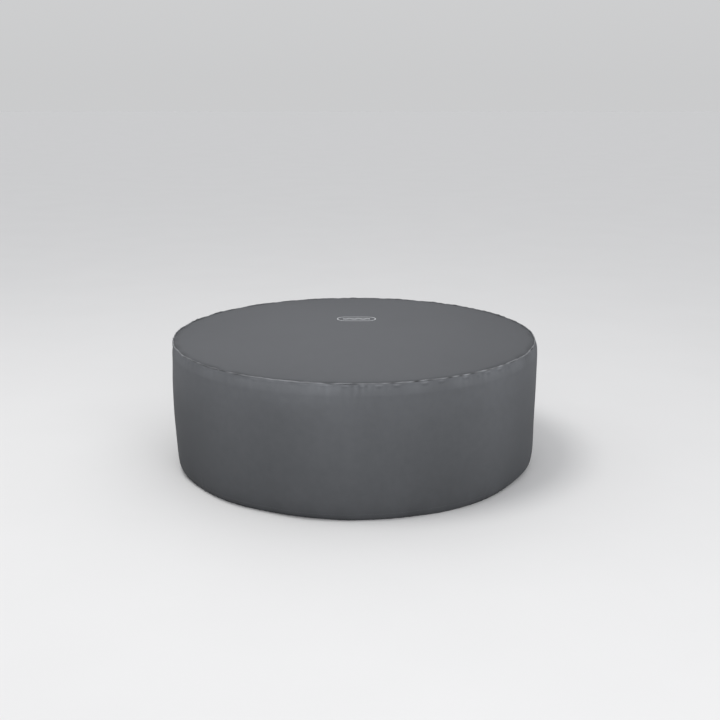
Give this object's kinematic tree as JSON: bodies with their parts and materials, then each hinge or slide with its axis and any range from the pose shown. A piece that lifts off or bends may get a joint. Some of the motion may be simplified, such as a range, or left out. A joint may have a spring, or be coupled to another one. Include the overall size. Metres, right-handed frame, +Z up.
{
  "type": "inflatable hot tub",
  "caption": "Round inflatable hot tub with a fitted grey fabric cover that reaches the ground, an inflatable zip-up lid with buckles, and rear water and air ports.",
  "frame": {"origin": "centre of the footprint, on the ground under the tub", "axes": "+Z up, front -Y, the ports and the cover's pump cut-out at the rear, +Y"},
  "size_m": [1.984, 1.984, 0.702],
  "materials": {
    "cover_cloth": "satin coated polyester",
    "cover_foam": "closed-cell foam sheet",
    "cover_lining": "reflecting lining",
    "cover_trim": "woven binding",
    "print": "printed ink",
    "elastic": "elastic cord",
    "tub_outer": "embossed vinyl",
    "tub_inner": "smooth vinyl",
    "tub_rim": "embossed vinyl",
    "mat": "foam mat",
    "web": "coated scrim",
    "lid_cloth": "coated polyester",
    "lid_foil": "foil-faced cloth",
    "bladder": "clear vinyl",
    "fitting": "moulded",
    "fitting_dark": "moulded",
    "gasket": "rubber",
    "paper": "pleated filter paper",
    "webbing": "woven webbing",
    "metal": "plated zinc"
  },
  "bodies": {
    "tub": {"outer_wall_skin": "tub_outer", "inner_wall_skin": "tub_inner", "rim_panel": "tub_rim", "base_ring_panel": "tub_inner", "floor_sheet": "tub_inner", "ground_mat": "mat", "wall_beams": "web", "bubble_ring": "tub_inner", "outer_port_pad": "fitting_dark", "inner_port_pad": "fitting", "water_inlet_tube": "fitting", "water_outlet_tube": "fitting", "air_inlet_tube": "fitting", "port_gaskets": "gasket", "port_lock_nuts": "fitting", "wall_valve_body": "fitting", "drain_tube": "fitting", "handle_patches": "tub_outer", "carry_handles": "webbing", "buckle_patches": "tub_outer", "buckle_sockets": "fitting_dark"},
    "cover": {"cover_top_panel": "cover_cloth", "cover_top_foam": "cover_foam", "cover_top_lining": "cover_lining", "cover_rim_piping": "cover_trim", "cover_skirt": "cover_cloth", "cover_rear_panel": "cover_cloth", "cover_skirt_lining": "cover_lining", "cover_hem_band": "cover_cloth", "cover_hem_elastic": "elastic", "cover_cutout_binding": "cover_trim", "cover_label": "print"},
    "lid": {"lid_top_skin": "lid_cloth", "lid_bottom_skin": "lid_foil", "lid_bladder": "bladder", "lid_zip_tape": "webbing", "lid_zip_teeth": "fitting_dark", "lid_edge_binding": "webbing", "lid_valve_body": "fitting", "lid_straps": "webbing", "buckle_tongues": "fitting_dark"},
    "zip_slider": {"lid_zip_slider": "metal"},
    "lid_air_cap": {"lid_valve_cap": "fitting"},
    "wall_air_cap": {"wall_valve_cap": "fitting"},
    "drain_cap": {"drain_cap": "fitting_dark"},
    "drain_plug": {"drain_plug": "fitting"},
    "filter_unit": {"filter_base": "fitting", "filter_cup": "fitting", "filter_cartridge": "paper"},
    "outlet_screen": {"outlet_screen": "fitting"}
  },
  "joints": [
    {"name": "cover_lift", "type": "slide", "parent": "tub", "child": "cover", "axis": [0, 0, 1], "range_m": [0, 0.8]},
    {"name": "lid_lift", "type": "slide", "parent": "tub", "child": "lid", "axis": [0, 0, 1], "range_m": [0, 0.4]},
    {"name": "zip_run", "type": "hinge", "parent": "lid", "child": "zip_slider", "pos_m": [0, 0, 0.656], "axis": [0, 0, 1], "range_deg": [0, 142]},
    {"name": "lid_cap_turn", "type": "hinge", "parent": "lid", "child": "lid_air_cap", "pos_m": [0, -0.6, 0.628], "axis": [0, 0, 1], "range_deg": [0, 360]},
    {"name": "wall_cap_turn", "type": "hinge", "parent": "tub", "child": "wall_air_cap", "pos_m": [0.54941, 0.716, 0.52], "axis": [0.5935, 0.7735, 0.2222], "range_deg": [0, 360]},
    {"name": "drain_cap_turn", "type": "hinge", "parent": "tub", "child": "drain_cap", "pos_m": [-0.54788, -0.71402, 0.032], "axis": [-0.6088, -0.7934, 0], "range_deg": [0, 360]},
    {"name": "drain_plug_pull", "type": "slide", "parent": "tub", "child": "drain_plug", "axis": [0.6088, 0.7934, 0], "range_m": [0, 0.04]},
    {"name": "filter_turn", "type": "hinge", "parent": "tub", "child": "filter_unit", "pos_m": [-0.11, 0.655, 0.2], "axis": [0, 1, 0], "range_deg": [0, 60]},
    {"name": "screen_turn", "type": "hinge", "parent": "tub", "child": "outlet_screen", "pos_m": [0.11, 0.655, 0.2], "axis": [0, 1, 0], "range_deg": [0, 60]}
  ],
  "couplings": [
    {"joint": "lid_lift", "follows": "cover_lift", "ratio": 0.5}
  ]
}
